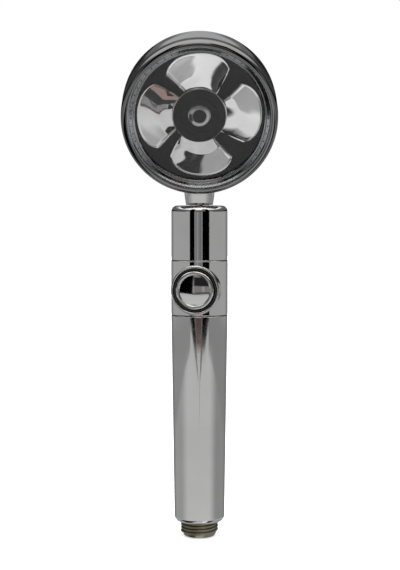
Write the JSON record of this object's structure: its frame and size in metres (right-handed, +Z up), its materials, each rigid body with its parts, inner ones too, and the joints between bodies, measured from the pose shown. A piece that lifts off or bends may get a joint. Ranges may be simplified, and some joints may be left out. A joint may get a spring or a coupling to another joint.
{
  "type": "handheld shower head",
  "caption": "Chrome handheld shower head: round drum with a clear window over a spinning propeller, swivel neck, push-through stop button, tapered grip with a filter, threaded hose inlet",
  "frame": {"origin": "centre of the threaded inlet's end face, on the handle's axis", "axes": "+Z runs up the handle from the hose inlet to the head, -Y is the way the head sprays, +X is to the right of a person looking at the spray face"},
  "size_m": [0.084, 0.0542, 0.2758],
  "materials": {
    "chrome_shell": "bright chrome plating on ABS, slightly smudged",
    "spray_chrome": "darker chrome plating on the dished nozzle ring",
    "propeller_chrome": "mirror chrome plating with moulded edge",
    "thread_metal": "dull machined brass, olive-brown tarnish",
    "screw_steel": "stainless steel",
    "clear_window": "clear polycarbonate",
    "black_rubber": "matt black rubber",
    "black_plastic": "dark satin plastic",
    "white_plastic": "natural acetal",
    "filter_cotton": "wound polypropylene fibre"
  },
  "bodies": {
    "handle": {"tail_connector": "thread_metal", "inlet_strainer": "white_plastic", "grip_shell": "chrome_shell", "filter_lower_cap": "black_rubber", "filter_cartridge": "filter_cotton", "filter_upper_cap": "white_plastic", "grip_o_ring": "black_rubber", "valve_body": "chrome_shell", "valve_o_ring": "black_rubber", "collar": "chrome_shell", "button_ring": "black_rubber", "rear_button_ring": "black_rubber"},
    "stop_button": {"button_cap": "chrome_shell", "valve_spool": "white_plastic", "spool_o_ring_rear": "black_rubber", "spool_o_ring_shutoff": "black_rubber", "spool_o_ring_front": "black_rubber", "rear_button_cap": "chrome_shell"},
    "head": {"swivel_stem": "chrome_shell", "stem_o_ring_lower": "black_rubber", "stem_o_ring_upper": "black_rubber", "stem_seal_ring": "black_rubber", "slide_washer": "white_plastic", "rear_housing": "chrome_shell", "front_bezel": "chrome_shell", "spray_ring": "spray_chrome", "spray_gasket": "black_rubber", "window": "clear_window", "window_gasket": "black_rubber", "jet_plate": "black_plastic", "jet_plate_screw_1": "screw_steel", "jet_plate_screw_2": "screw_steel", "jet_plate_screw_3": "screw_steel", "propeller_shaft": "screw_steel", "hub_nut": "screw_steel"},
    "propeller": {"propeller": "propeller_chrome", "hub_cap": "black_plastic", "rear_bush": "white_plastic", "front_bush": "white_plastic"}
  },
  "joints": [
    {"name": "head_swivel", "type": "hinge", "parent": "handle", "child": "head", "pos_m": [0, 0, 0.17], "axis": [0, 0, 1], "continuous": true},
    {"name": "propeller_spin", "type": "hinge", "parent": "head", "child": "propeller", "pos_m": [0, -0.011, 0.2323], "axis": [0, -0.9537, -0.3007], "continuous": true},
    {"name": "stop_button_slide", "type": "slide", "parent": "handle", "child": "stop_button", "axis": [0.1564, 0.9877, 0], "range_m": [0, 0.0043]}
  ]
}
